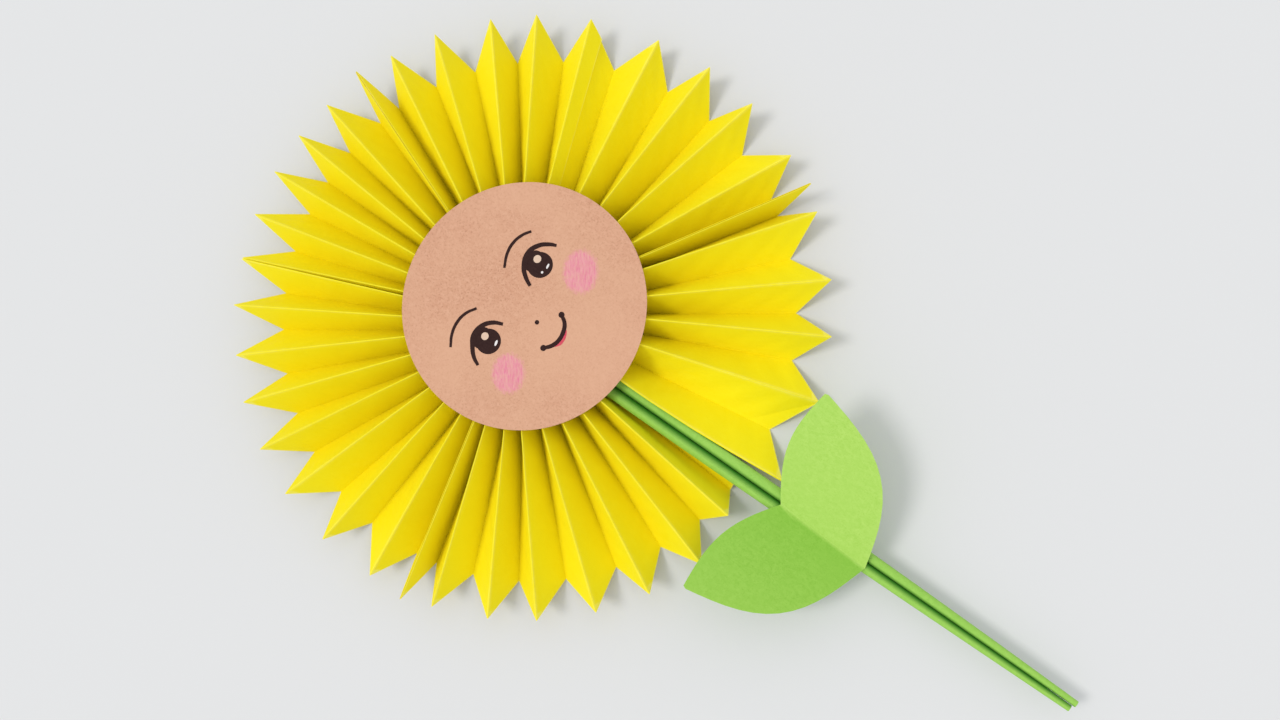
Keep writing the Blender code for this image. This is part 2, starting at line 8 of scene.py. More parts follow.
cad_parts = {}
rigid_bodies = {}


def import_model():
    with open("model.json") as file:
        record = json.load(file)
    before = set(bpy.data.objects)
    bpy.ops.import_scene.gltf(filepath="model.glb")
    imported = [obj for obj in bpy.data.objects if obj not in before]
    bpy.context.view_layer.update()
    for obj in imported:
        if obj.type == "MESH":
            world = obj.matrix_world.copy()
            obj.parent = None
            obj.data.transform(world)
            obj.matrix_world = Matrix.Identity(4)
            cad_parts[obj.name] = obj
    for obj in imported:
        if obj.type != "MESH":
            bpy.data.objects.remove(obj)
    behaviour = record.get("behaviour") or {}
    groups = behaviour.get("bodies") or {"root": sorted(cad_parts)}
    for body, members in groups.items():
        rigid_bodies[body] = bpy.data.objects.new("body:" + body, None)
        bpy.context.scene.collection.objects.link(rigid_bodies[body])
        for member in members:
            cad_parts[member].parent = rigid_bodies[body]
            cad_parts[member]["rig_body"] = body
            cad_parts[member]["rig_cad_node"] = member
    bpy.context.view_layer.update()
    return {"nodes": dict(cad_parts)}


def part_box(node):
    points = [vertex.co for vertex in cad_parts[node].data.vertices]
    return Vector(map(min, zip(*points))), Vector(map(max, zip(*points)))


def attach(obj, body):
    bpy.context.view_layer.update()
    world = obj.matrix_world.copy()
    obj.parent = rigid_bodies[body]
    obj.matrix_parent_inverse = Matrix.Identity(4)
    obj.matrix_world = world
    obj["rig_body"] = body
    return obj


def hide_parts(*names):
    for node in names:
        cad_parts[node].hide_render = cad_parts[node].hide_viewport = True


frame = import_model()
mm = 0.001
noise.seed_set(6)  # noise_vector starts from a place of its own in every session until it is seeded

discShift = 1.3 * mm  # the disc is glued this far beside the hub
discLow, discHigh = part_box("face_disc")
discMiddle = (discLow + discHigh) / 2
hub = Vector((discMiddle.x - discShift, discMiddle.y, 0.0))  # middle of the rosette, on the table


def deselectAll():
    if bpy.context.mode != "OBJECT":
        bpy.ops.object.mode_set(mode="OBJECT")
    bpy.ops.object.select_all(action="DESELECT")


def makeActive(piece):
    deselectAll()
    piece.select_set(True)
    bpy.context.view_layer.objects.active = piece


def editAll(piece):
    makeActive(piece)
    bpy.ops.object.mode_set(mode="EDIT")
    bpy.ops.mesh.select_all(action="SELECT")


def leaveEdit():
    bpy.ops.object.mode_set(mode="OBJECT")


# Shader helpers
def linkOrSet(links, value, socket):
    if isinstance(value, bpy.types.NodeSocket):
        links.new(value, socket)
    else:
        socket.default_value = value


def mixColors(tree, factor, first, second, blend="MIX"):
    mix = tree.nodes.new("ShaderNodeMix")
    mix.data_type = "RGBA"
    mix.blend_type = blend
    linkOrSet(tree.links, factor, mix.inputs[0])
    for value, socket in ((first, mix.inputs[6]), (second, mix.inputs[7])):
        linkOrSet(tree.links, value if isinstance(value, bpy.types.NodeSocket) else (*value, 1.0), socket)
    return mix.outputs[2]


def mathNode(tree, operation, first, second, clamp=False):
    node = tree.nodes.new("ShaderNodeMath")
    node.operation = operation
    node.use_clamp = clamp
    linkOrSet(tree.links, first, node.inputs[0])
    linkOrSet(tree.links, second, node.inputs[1])
    return node.outputs[0]


def mapRange(tree, value, fromLow, fromHigh, toLow=0.0, toHigh=1.0):
    node = tree.nodes.new("ShaderNodeMapRange")
    linkOrSet(tree.links, value, node.inputs["Value"])
    limits = {"From Min": fromLow, "From Max": fromHigh, "To Min": toLow, "To Max": toHigh}
    for name, number in limits.items():
        linkOrSet(tree.links, number, node.inputs[name])
    return node.outputs["Result"]


def noiseOf(tree, vector, scale, detail, roughness, distortion=0.0):
    node = tree.nodes.new("ShaderNodeTexNoise")
    linkOrSet(tree.links, vector, node.inputs["Vector"])
    linkOrSet(tree.links, scale, node.inputs["Scale"])
    node.inputs["Detail"].default_value = detail
    node.inputs["Roughness"].default_value = roughness
    node.inputs["Distortion"].default_value = distortion
    return node.outputs["Fac"]


def vectorNode(tree, operation, vector, factors=None):
    node = tree.nodes.new("ShaderNodeVectorMath")
    node.operation = operation
    tree.links.new(vector, node.inputs[0])
    if factors is not None:
        node.inputs[1].default_value = factors
    return node


def newGroup(name, inputs, outputs):
    group = bpy.data.node_groups.new(name, "ShaderNodeTree")
    for socketName, kind, value in inputs:
        socket = group.interface.new_socket(name=socketName, in_out="INPUT", socket_type=kind)
        if value is not None:
            socket.default_value = value
    for socketName in outputs:
        group.interface.new_socket(name=socketName, in_out="OUTPUT", socket_type="NodeSocketFloat")
    return group, group.nodes.new("NodeGroupInput"), group.nodes.new("NodeGroupOutput")


# A grain is a noise's detail, roughness and, where it has one, distortion; a band is the part of
# the noise's range that is spread from 0 to 1
pulpSettings = {
    "stretch": (1.0, 0.6, 1.0),  # fibres lie a little along the sheet
    "fibreGrain": (4.0, 0.62, 0.6),
    "fibreBand": (0.36, 0.66),
    "speckGrain": (2.0, 0.7),
    "speckBand": (0.52, 0.74),
    "tooth": 0.45,  # how much the specks add to the height
}


def makePulpGroup(settings):
    # fine fibres pressed into the sheet: short streaks, specks and the tooth of the surface
    group, given, result = newGroup(
        "paperPulp",
        [("Vector", "NodeSocketVector", None), ("Fibre Scale", "NodeSocketFloat", 900.0),
         ("Speck Scale", "NodeSocketFloat", 2600.0)],
        ["Fibres", "Specks", "Height"])
    vector = given.outputs["Vector"]
    lengthwise = vectorNode(group, "MULTIPLY", vector, settings["stretch"]).outputs[0]
    fibres = noiseOf(group, lengthwise, given.outputs["Fibre Scale"], *settings["fibreGrain"])
    specks = noiseOf(group, vector, given.outputs["Speck Scale"], *settings["speckGrain"])
    group.links.new(mapRange(group, fibres, *settings["fibreBand"]), result.inputs["Fibres"])
    group.links.new(mapRange(group, specks, *settings["speckBand"]), result.inputs["Specks"])
    tooth = mathNode(group, "MULTIPLY", specks, settings["tooth"])
    group.links.new(mathNode(group, "ADD", fibres, tooth), result.inputs["Height"])
    return group


handlingSettings = {
    "grain": (2.5, 0.5, 0.3),
    "band": (0.34, 0.68),
}


def makeHandlingGroup(settings):
    # broad soft patches, where fingers and folding have dulled or lifted the colour
    group, given, result = newGroup(
        "handledPatches",
        [("Vector", "NodeSocketVector", None), ("Scale", "NodeSocketFloat", 45.0)],
        ["Patches"])
    patches = noiseOf(group, given.outputs["Vector"], given.outputs["Scale"], *settings["grain"])
    group.links.new(mapRange(group, patches, *settings["band"]), result.inputs["Patches"])
    return group


# painted highlight, partly rubbed wear, along crests and cut edges
highlightWearSettings = {
    "raggedScale": 420.0,
    "grain": (3.0, 0.6),
    "band": (0.3, 0.7),
    "least": 0.35,
}


def makeWearGroup(settings):
    # painted highlight, partly rubbed wear, on fold lines and cut edges: the attribute is 1 on the line and
    # runs out on the next row of points
    group, given, result = newGroup(
        "lineWear",
        [("Line", "NodeSocketFloat", 0.0), ("Sharpness", "NodeSocketFloat", 7.0),
         ("Vector", "NodeSocketVector", None)],
        ["Wear"])
    narrow = mathNode(group, "POWER", given.outputs["Line"], given.outputs["Sharpness"])
    uneven = noiseOf(group, given.outputs["Vector"], settings["raggedScale"], *settings["grain"])
    ragged = mapRange(group, uneven, *settings["band"], settings["least"], 1.0)
    group.links.new(mathNode(group, "MULTIPLY", narrow, ragged, True), result.inputs["Wear"])
    return group


pulpGroup = makePulpGroup(pulpSettings)
handlingGroup = makeHandlingGroup(handlingSettings)
highlightWearGroup = makeWearGroup(highlightWearSettings)


def newMaterial(name):
    material = bpy.data.materials.new(name)
    material.use_nodes = True
    tree = material.node_tree
    shader = tree.nodes["Principled BSDF"]
    coords = tree.nodes.new("ShaderNodeTexCoord").outputs["Object"]
    return material, tree, shader, coords


def placeGroup(tree, group, coords, values):
    node = tree.nodes.new("ShaderNodeGroup")
    node.node_tree = group
    tree.links.new(coords, node.inputs["Vector"])
    for name, value in values.items():
        linkOrSet(tree.links, value, node.inputs[name])
    return node


def attributeOf(tree, name):
    node = tree.nodes.new("ShaderNodeAttribute")
    node.attribute_name = name
    return node.outputs["Fac"]


def bumpNode(tree, height, strength, distance, under=None):
    bump = tree.nodes.new("ShaderNodeBump")
    bump.inputs["Strength"].default_value = strength
    bump.inputs["Distance"].default_value = distance
    tree.links.new(height, bump.inputs["Height"])
    if under is not None:
        tree.links.new(under, bump.inputs["Normal"])
    return bump.outputs["Normal"]


paperFinish = {
    "roughnessSpread": (-0.06, 0.05),  # what bare paper and fibres add to a look's roughness
    "waveGrain": (2.0, 0.45),
    "pulpDepth": 0.12 * mm,
}


def paperColour(tree, coords, look):
    # colour of one dyed paper, before any drawing, with the pulp node that gives its bump
    scales = {"Fibre Scale": look["fibreScale"], "Speck Scale": look["speckScale"]}
    pulp = placeGroup(tree, pulpGroup, coords, scales)
    patches = placeGroup(tree, handlingGroup, coords, {"Scale": look["patchScale"]})
    masks = {"fibre": pulp.outputs["Fibres"], "speck": pulp.outputs["Specks"], "patch": patches.outputs[0]}
    colour = look["base"]
    for name, mask in masks.items():
        share = mathNode(tree, "MULTIPLY", mask, look[name + "Amount"])
        colour = mixColors(tree, share, colour, look[name + "Colour"])
    return colour, pulp


def makePaper(name, look):
    material, tree, shader, coords = newMaterial(name)
    colour, pulp = paperColour(tree, coords, look)
    # painted highlight, partly rubbed wear, mixed in along the fold lines and cut edges
    lineInputs = {"Line": attributeOf(tree, "foldLine"), "Sharpness": look["highlightWearSharpness"]}
    highlightWear = placeGroup(tree, highlightWearGroup, coords, lineInputs)
    highlightShare = mathNode(tree, "MULTIPLY", highlightWear.outputs["Wear"], look["highlightWearAmount"])
    colour = mixColors(tree, highlightShare, colour, look["highlightWearColour"])
    tree.links.new(colour, shader.inputs["Base Color"])
    smoothest, roughest = (look["roughness"] + spread for spread in paperFinish["roughnessSpread"])
    rough = mapRange(tree, pulp.outputs["Fibres"], 0.0, 1.0, smoothest, roughest)
    tree.links.new(rough, shader.inputs["Roughness"])
    shader.inputs["Specular IOR Level"].default_value = look["gloss"]
    swell = noiseOf(tree, coords, look["waveScale"], *paperFinish["waveGrain"])
    waves = bumpNode(tree, swell, 1.0, look["waveHeight"])
    tooth = bumpNode(tree, pulp.outputs["Height"], look["bump"], paperFinish["pulpDepth"], waves)
    tree.links.new(tooth, shader.inputs["Normal"])
    return material


def deepenBy(material, attributeName, colour):
    # multiplies the colour in where the named attribute of the mesh is high
    tree = material.node_tree
    socket = tree.nodes["Principled BSDF"].inputs["Base Color"]
    paper = socket.links[0].from_socket
    share = attributeOf(tree, attributeName)
    tree.links.new(mixColors(tree, share, paper, colour, "MULTIPLY"), socket)


# the lighter line colour and amount in each look are painted highlight, partly rubbed wear, along crests
# and cut edges
petalLook = {
    "base": (0.935, 0.795, 0.003),
    "fibreColour": (0.95, 0.85, 0.025),
    "speckColour": (0.86, 0.70, 0.002),
    "patchColour": (0.945, 0.83, 0.008),
    "highlightWearColour": (0.98, 0.93, 0.25),
    "fibreScale": 700.0, "fibreAmount": 0.35,
    "speckScale": 2400.0, "speckAmount": 0.22,
    "patchScale": 42.0, "patchAmount": 0.5,
    "highlightWearSharpness": 7.0, "highlightWearAmount": 0.6,
    "waveScale": 34.0, "waveHeight": 1.1 * mm,
    "roughness": 0.74, "gloss": 0.16, "bump": 0.35,
}
petalEdgeLook = dict(petalLook, base=(0.93, 0.85, 0.12), patchColour=(0.96, 0.91, 0.3), highlightWearAmount=0.0)
leafLook = {
    "base": (0.38, 0.635, 0.10),
    "fibreColour": (0.49, 0.73, 0.16),
    "speckColour": (0.30, 0.54, 0.06),
    "patchColour": (0.41, 0.665, 0.115),
    "highlightWearColour": (0.56, 0.79, 0.26),
    "fibreScale": 800.0, "fibreAmount": 0.6,
    "speckScale": 1700.0, "speckAmount": 0.6,
    "patchScale": 55.0, "patchAmount": 0.45,
    "highlightWearSharpness": 14.0, "highlightWearAmount": 0.12,
    "waveScale": 30.0, "waveHeight": 1.1 * mm,
    "roughness": 0.78, "gloss": 0.22, "bump": 0.45,
}
leafEdgeLook = dict(leafLook, base=(0.56, 0.80, 0.27), patchColour=(0.62, 0.84, 0.33), highlightWearAmount=0.0)
stemLook = dict(leafLook, base=(0.28, 0.56, 0.075), fibreColour=(0.37, 0.65, 0.12),
                patchColour=(0.32, 0.60, 0.09), speckColour=(0.21, 0.48, 0.05),
                highlightWearColour=(0.45, 0.73, 0.17), roughness=0.66, gloss=0.3)
kraftLook = {
    "base": (0.615, 0.320, 0.200),
    "fibreColour": (0.76, 0.445, 0.30),
    "speckColour": (0.42, 0.19, 0.11),
    "patchColour": (0.71, 0.405, 0.26),
    "highlightWearColour": (0.80, 0.56, 0.40),
    "fibreScale": 820.0, "fibreAmount": 0.55,
    "speckScale": 1500.0, "speckAmount": 0.75,
    "patchScale": 38.0, "patchAmount": 0.65,
    "highlightWearSharpness": 9.0, "highlightWearAmount": 0.0,
    "waveScale": 25.0, "waveHeight": 0.8 * mm,
    "roughness": 0.82, "gloss": 0.2, "bump": 0.8,
}
kraftEdgeLook = dict(kraftLook, base=(0.72, 0.46, 0.30))

petalPaper = makePaper("petalPaper", petalLook)
petalEdge = makePaper("petalCutEdge", petalEdgeLook)
leafPaper = makePaper("leafPaper", leafLook)
leafEdge = makePaper("leafCutEdge", leafEdgeLook)
stemPaper = makePaper("stemPaper", stemLook)
deepenBy(petalPaper, "finShade", (0.55, 0.42, 0.16))
# painted shade on the left leaf blade
deepenBy(leafPaper, "paintedBladeShade", (0.63, 0.80, 0.50))
# painted shade in the groove between the stem rolls
deepenBy(stemPaper, "grooveShade", (0.12, 0.34, 0.10))
print("papers made")


# Turning a solid of the frame into a finished paper piece
foldSettings = {
    "mergeWithin": 0.004 * mm,
    "flatWithin": math.radians(20),  # two triangles this flat become one four-sided face
    "anyShape": math.radians(180),
    "driftReach": 0.45,  # millimetres
    "driftScale": 7.0,  # waves in a metre
    "fullLiftFrom": 5.0 * mm,  # what is lower lifts less, and nothing at the table
}


def paperDrift(point, settings):
    # the slight lift and sag of hand-folded paper, one slow field for the whole flower
    drift = noise.noise_vector(point * settings["driftScale"]) * settings["driftReach"] * mm
    drift.z *= min(max(point.z / settings["fullLiftFrom"], 0.0), 1.0)
    return drift


def copyOfNode(nodeName, pieceName):
    makeActive(frame["nodes"][nodeName])
    bpy.ops.object.duplicate()
    piece = bpy.context.active_object
    piece.name = pieceName
    piece.data.name = pieceName
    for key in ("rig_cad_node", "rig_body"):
        del piece[key]
    bpy.ops.object.parent_clear(type="CLEAR_KEEP_TRANSFORM")
    # the imported normals would not fit the finer mesh
    bpy.ops.mesh.customdata_custom_splitnormals_clear()
    return piece


def refine(piece, cuts, settings, quads=True):
    editAll(piece)
    bpy.ops.mesh.remove_doubles(threshold=settings["mergeWithin"])
    if quads:
        bpy.ops.mesh.tris_convert_to_quads(
            face_threshold=settings["flatWithin"], shape_threshold=settings["anyShape"])
    if cuts:
        bpy.ops.mesh.subdivide(number_cuts=cuts)
    leaveEdit()


def paintPoints(piece, attributeName, values):
    piece.data.attributes.new(attributeName, "FLOAT", "POINT").data.foreach_set("value", values)


def markFoldLines(piece, sharpFrom, crestsOnly=False):
    # 1 on every point of a fold or cut edge, 0 elsewhere; with crestsOnly the inside of a fold is left out,
    # so the painted highlight, partly rubbed wear, lies on crests alone
    mesh = piece.data
    values = [0.0] * len(mesh.vertices)
    facesAt = {}
    for face in mesh.polygons:
        for key in face.edge_keys:
            facesAt.setdefault(key, []).append(face)
    for key, faces in facesAt.items():
        if len(faces) != 2 or faces[0].normal.angle(faces[1].normal, 0.0) < sharpFrom:
            continue
        inside = (faces[1].center - faces[0].center).dot(faces[0].normal) > 0.0
        if not (inside and crestsOnly):
            values[key[0]] = values[key[1]] = 1.0
    paintPoints(piece, "foldLine", values)


def settle(piece):
    for vertex in piece.data.vertices:
        vertex.co += paperDrift(vertex.co, foldSettings)
    piece.data.update()


def finishPiece(piece, node, smoothBelow):
    makeActive(piece)
    bpy.ops.object.shade_smooth_by_angle(angle=smoothBelow)
    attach(piece, "root")
    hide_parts(node)


def dress(piece, material):
    piece.data.materials.clear()
    piece.data.materials.append(material)


def dressEdges(piece, edgeMaterial, isEdge):
    # a second material on the faces that show the paper's cut thickness
    piece.data.materials.append(edgeMaterial)
    for face in piece.data.polygons:
        if isEdge(face):
            face.material_index = 1


fanSettings = {
    # each sheet: its node, where it is bent, in millimetres from the hub, and its fin's bearing in degrees
    "pieces": {"petalFanLeft": ("petal_fan_left", (-12.3, -2.3), 191.4),
               "petalFanTop": ("petal_fan_top", (0.0, 6.5), 69.3),
               "petalFanRight": ("petal_fan_right", (5.4, -3.6), 326.0)},
    "cuts": 3,
    "sharpFrom": math.radians(24.0),
    "smoothBelow": math.radians(20.0),
    "finReach": 106.0 * mm,
    "finPress": 0.14 * mm,   # how far each half of a fin moves to the other
    "finTop": 0.45 * mm,     # half the thickness of the fin at its top
    "finFade": 1.6 * mm,     # the press runs out this far beside the top
    "finFrom": 16.0 * mm,    # and starts this far out, hidden by the disc
    "finFull": 30.0 * mm,
    "finInside": 0.24 * mm,  # points this near the fin's middle line lie in its shade
    "edgeFacing": 0.72,      # a cut end looks away from the hub at least this much
    "edgeFrom": 60.0 * mm,
}


def pressFin(fan, bend, bearing, settings):
    # the two halves of the sheet are glued at the fin, so no table shows between them, only a dark line
    angle = math.radians(bearing)
    start = hub.xy + Vector(bend) * mm
    tip = hub.xy + Vector((math.cos(angle), math.sin(angle))) * settings["finReach"]
    along = (tip - start).normalized()
    across = Vector((-along.y, along.x))
    shades = []
    for vertex in fan.data.vertices:
        offset = vertex.co.xy - start
        reach = (offset.dot(along) - settings["finFrom"]) / (settings["finFull"] - settings["finFrom"])
        aside = offset.dot(across)
        near = 1.0 - (abs(aside) - settings["finTop"]) / settings["finFade"]
        press = min(max(reach, 0.0), 1.0) * min(max(near, 0.0), 1.0) * settings["finPress"]
        shades.append(1.0 if abs(aside) < settings["finInside"] and reach > 0.0 else 0.0)
        vertex.co.xy -= across * math.copysign(press, aside)
    paintPoints(fan, "finShade", shades)


def isPleatEnd(face):
    # the cut ends of the pleats look away from the hub; the panels never do
    away = face.center - hub
    away.z = 0.0
    facing = abs(face.normal.dot(away.normalized()))
    return facing > fanSettings["edgeFacing"] and away.length > fanSettings["edgeFrom"]


def makeFans(settings):
    for pieceName, (node, bend, bearing) in settings["pieces"].items():
        fan = copyOfNode(node, pieceName)
        # the panels are twisted, so they keep their triangles
        refine(fan, settings["cuts"], foldSettings, quads=False)
        dress(fan, petalPaper)
        markFoldLines(fan, settings["sharpFrom"], crestsOnly=True)
        dressEdges(fan, petalEdge, isPleatEnd)
        pressFin(fan, bend, bearing, settings)
        settle(fan)
        finishPiece(fan, node, settings["smoothBelow"])


makeFans(fanSettings)
print("petal fans made")


stemSettings = {
    "pieces": {"stemRollLeft": "stem_roll_left", "stemRollRight": "stem_roll_right"},
    "cuts": 2,
    "longEdge": 8.0 * mm,  # edges that run further than this along the stem are cut
    "sharpFrom": math.radians(50.0),
    "smoothBelow": math.radians(40.0),
    # how far a point must face the other tube before its shade starts and is full, left and right
    "shadeFrom": {-1.0: (-0.15, 0.75), 1.0: (0.45, 1.0)},
    "press": 0.2 * mm,
}


def tuckGroove(roll, middle, settings):
    # the glued sides press together: they meet in the middle, and shade is painted into the groove, wider
    # and darker on the left roll, whose groove side faces away from the light
    mesh = roll.data
    side = 1.0 if sum(vertex.co.x for vertex in mesh.vertices) > middle * len(mesh.vertices) else -1.0
    normals = [vertex.normal.copy() for vertex in mesh.vertices]
    low, high = settings["shadeFrom"][side]
    shades = []
    for vertex, normal in zip(mesh.vertices, normals):
        facing = -normal.x * side
        shades.append(min(max((facing - low) / (high - low), 0.0), 1.0))
        vertex.co.x -= side * settings["press"] * max(facing, 0.0)
    paintPoints(roll, "grooveShade", shades)


def makeStem(settings):
    middle = 0.5 * (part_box("stem_roll_left")[1].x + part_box("stem_roll_right")[0].x)
    for pieceName, node in settings["pieces"].items():
        roll = copyOfNode(node, pieceName)
        refine(roll, 0, foldSettings)
        editAll(roll)
        bpy.ops.mesh.select_all(action="DESELECT")
        leaveEdit()
        for edge in roll.data.edges:
            a, b = (roll.data.vertices[i].co for i in edge.vertices)
            edge.select = abs(a.y - b.y) > settings["longEdge"]
        bpy.ops.object.mode_set(mode="EDIT")
        bpy.ops.mesh.select_mode(type="EDGE")
        bpy.ops.mesh.subdivide(number_cuts=settings["cuts"])
        leaveEdit()
        dress(roll, stemPaper)
        markFoldLines(roll, settings["sharpFrom"])
        tuckGroove(roll, middle, settings)
        settle(roll)
        finishPiece(roll, node, settings["smoothBelow"])


makeStem(stemSettings)
print("stem made")


leafSettings = {
    "cuts": 3,
    "sharpFrom": math.radians(18.0),
    "smoothBelow": math.radians(30.0),
    "foldFrom": Vector((-8.16 * mm, -84.9 * mm)),
    "foldTo": Vector((-6.25 * mm, -51.25 * mm)),
    "foldHalf": 0.15 * mm,  # the painted shade starts this far beside the fold line
    "bladeReach": 40.0 * mm,
    "fade": 0.4,
    "edgeSlope": 0.6,  # a face that looks up or down less than this is a cut edge
}


def shadeLeftBlade(leaf, settings):
    # painted shade on the left blade, which faces away from the light, deepest by the fold
    along = (settings["foldTo"] - settings["foldFrom"]).normalized()
    bladeShades = []
    for vertex in leaf.data.vertices:
        offset = vertex.co.xy - settings["foldFrom"]
        aside = offset.x * along.y - offset.y * along.x
        away = min(-aside / settings["bladeReach"], 1.0)
        bladeShades.append(1.0 - settings["fade"] * away if aside < -settings["foldHalf"] else 0.0)
    paintPoints(leaf, "paintedBladeShade", bladeShades)


def makeLeafPair(settings):
    leaf = copyOfNode("leaf_pair", "leafPair")
    refine(leaf, settings["cuts"], foldSettings)
    dress(leaf, leafPaper)
    markFoldLines(leaf, settings["sharpFrom"])
    shadeLeftBlade(leaf, settings)
    dressEdges(leaf, leafEdge, lambda face: abs(face.normal.z) < settings["edgeSlope"])
    settle(leaf)
    finishPiece(leaf, "leaf_pair", settings["smoothBelow"])


makeLeafPair(leafSettings)
print("leaves made")


# Face disc: kraft card with pencilled cheeks, pen strokes on top
faceSettings = {
    "radius": 42.6 * mm,
    "sides": 160,
    "rimRing": 0.9 * mm,
    "ringStep": 7.0 * mm,
    "rings": 6,
    "edgeSlope": 0.5,
    "smoothBelow": math.radians(40.0),
    "cardRoughness": (0.76, 0.88),
    # each cheek: place from the disc's middle, half width and half length in millimetres, turn in degrees
    "cheeks": [((20.0, -10.4), (6.2, 7.7), 34.0), ((-22.1, -9.1), (5.9, 7.0), 35.0)],
    "cheekColour": (0.74, 0.21, 0.32),
    "cheekLight": (0.86, 0.38, 0.46),
    "throughCard": 100.0,  # the oval runs straight down through the card
    # the oval's ragged rim: noise scale and grain, its band, how far it wanders, and the soft edge
    "frayGrain": (6.0, 4.0, 0.55),
    "frayBand": (0.3, 0.7),
    "fray": 0.11,
    "softEdge": (0.80, 1.06),
    # pencil strokes: stretch across and along, noise scale and grain, band, and the lightest stroke
    "strokeStretch": (11.0, 2.0, 1.0),
    "strokeGrain": (1.0, 4.0, 0.7, 0.4),
    "strokeBand": (0.36, 0.60),
    "lightest": 0.55,
    # the card's tooth takes the pencil: heights from low to high take this share up to all of it
    "toothBand": (0.45, 0.95),
    "toothLeast": 0.62,
}


def cheekMask(tree, coords, cheek, settings):
    # soft-edged oval, filled with pencil strokes that run along its long axis
    (x, y), (across, along), turn = cheek
    mapping = tree.nodes.new("ShaderNodeMapping")
    mapping.vector_type = "TEXTURE"
    mapping.inputs["Location"].default_value = (discMiddle.x + x * mm, discMiddle.y + y * mm, discHigh.z)
    mapping.inputs["Rotation"].default_value = (0.0, 0.0, math.radians(turn - 90.0))
    mapping.inputs["Scale"].default_value = (across * mm, along * mm, settings["throughCard"])
    tree.links.new(coords, mapping.inputs["Vector"])
    place = mapping.outputs["Vector"]
    length = vectorNode(tree, "LENGTH", place).outputs["Value"]
    wander = noiseOf(tree, place, *settings["frayGrain"])
    fray = mapRange(tree, wander, *settings["frayBand"], -settings["fray"], settings["fray"])
    inside = mapRange(tree, mathNode(tree, "ADD", length, fray), *settings["softEdge"], 1.0, 0.0)
    stretched = vectorNode(tree, "MULTIPLY", place, settings["strokeStretch"]).outputs[0]
    strokes = mapRange(tree, noiseOf(tree, stretched, *settings["strokeGrain"]), *settings["strokeBand"])
    return inside, strokes


def makeKraftCard(settings):
    material, tree, shader, coords = newMaterial("kraftCard")
    colour, pulp = paperColour(tree, coords, kraftLook)
    grain = mapRange(tree, pulp.outputs["Height"], *settings["toothBand"], settings["toothLeast"], 1.0)
    for cheek in settings["cheeks"]:
        inside, strokes = cheekMask(tree, coords, cheek, settings)
        pencil = mixColors(tree, strokes, settings["cheekLight"], settings["cheekColour"])
        weight = mapRange(tree, strokes, 0.0, 1.0, settings["lightest"], 1.0)
        pressed = mathNode(tree, "MULTIPLY", inside, weight)
        share = mathNode(tree, "MULTIPLY", pressed, grain, True)
        colour = mixColors(tree, share, colour, pencil)
    tree.links.new(colour, shader.inputs["Base Color"])
    rough = mapRange(tree, pulp.outputs["Fibres"], 0.0, 1.0, *settings["cardRoughness"])
    tree.links.new(rough, shader.inputs["Roughness"])
    shader.inputs["Specular IOR Level"].default_value = kraftLook["gloss"]
    tooth = bumpNode(tree, pulp.outputs["Height"], kraftLook["bump"], paperFinish["pulpDepth"])
    tree.links.new(tooth, shader.inputs["Normal"])
    return material


inkSettings = {
    # base colour, colour where it is thin, and roughness
    "penInk": ((0.030, 0.012, 0.011), (0.052, 0.024, 0.020), 0.6),
    "lipPencil": ((0.62, 0.06, 0.10), (0.70, 0.15, 0.17), 0.65),
    "eyeShine": ((0.70, 0.50, 0.37), (0.76, 0.58, 0.46), 0.8),
    "whitePen": ((0.80, 0.76, 0.74), (0.88, 0.86, 0.84), 0.6),
}
inkFinish = {
    "scales": {"Fibre Scale": 1500.0, "Speck Scale": 3200.0},
    "thinShare": 0.5,
    "roughnessSpread": 0.15,
    "gloss": 0.08,
    "bump": 0.3,
    "depth": 0.1 * mm,
}


def makeInk(name, base, thin, roughness):
    # ink or pencil: darker where the pen lingered, thin where the card's tooth shows through
    material, tree, shader, coords = newMaterial(name)
    pulp = placeGroup(tree, pulpGroup, coords, inkFinish["scales"])
    share = mathNode(tree, "MULTIPLY", pulp.outputs["Fibres"], inkFinish["thinShare"])
    tree.links.new(mixColors(tree, share, base, thin), shader.inputs["Base Color"])
    roughest = roughness + inkFinish["roughnessSpread"]
    rough = mapRange(tree, pulp.outputs["Specks"], 0.0, 1.0, roughness, roughest)
    tree.links.new(rough, shader.inputs["Roughness"])
    shader.inputs["Specular IOR Level"].default_value = inkFinish["gloss"]
    tooth = bumpNode(tree, pulp.outputs["Height"], inkFinish["bump"], inkFinish["depth"])
    tree.links.new(tooth, shader.inputs["Normal"])
    return material


kraftCard = makeKraftCard(faceSettings)
kraftEdge = makePaper("kraftCutEdge", kraftEdgeLook)
inks = {name: makeInk(name, *values) for name, values in inkSettings.items()}


def makeDisc(settings):
    deselectAll()
    bpy.ops.mesh.primitive_cylinder_add(
        vertices=settings["sides"], radius=settings["radius"], depth=discHigh.z - discLow.z,
        end_fill_type="NGON", location=discMiddle)
    disc = bpy.context.active_object
    disc.name = "faceDisc"
    bpy.ops.object.transform_apply(location=True, rotation=True, scale=True)
    # rings from the rim inward on both sides, so that the card can sag a little
    bpy.ops.object.mode_set(mode="EDIT")
    bpy.ops.mesh.select_mode(type="FACE")
    for side in (1.0, -1.0):
        bpy.ops.mesh.select_all(action="DESELECT")
        leaveEdit()
        for face in disc.data.polygons:
            face.select = face.normal.z * side > 0.0 and len(face.vertices) == settings["sides"]
        bpy.ops.object.mode_set(mode="EDIT")
        for ring in range(settings["rings"]):
            bpy.ops.mesh.inset(thickness=settings["ringStep" if ring else "rimRing"], depth=0.0)
        bpy.ops.mesh.poke()
    leaveEdit()
    dress(disc, kraftCard)
    dressEdges(disc, kraftEdge, lambda face: abs(face.normal.z) < settings["edgeSlope"])
    settle(disc)
    finishPiece(disc, "face_disc", settings["smoothBelow"])


makeDisc(faceSettings)


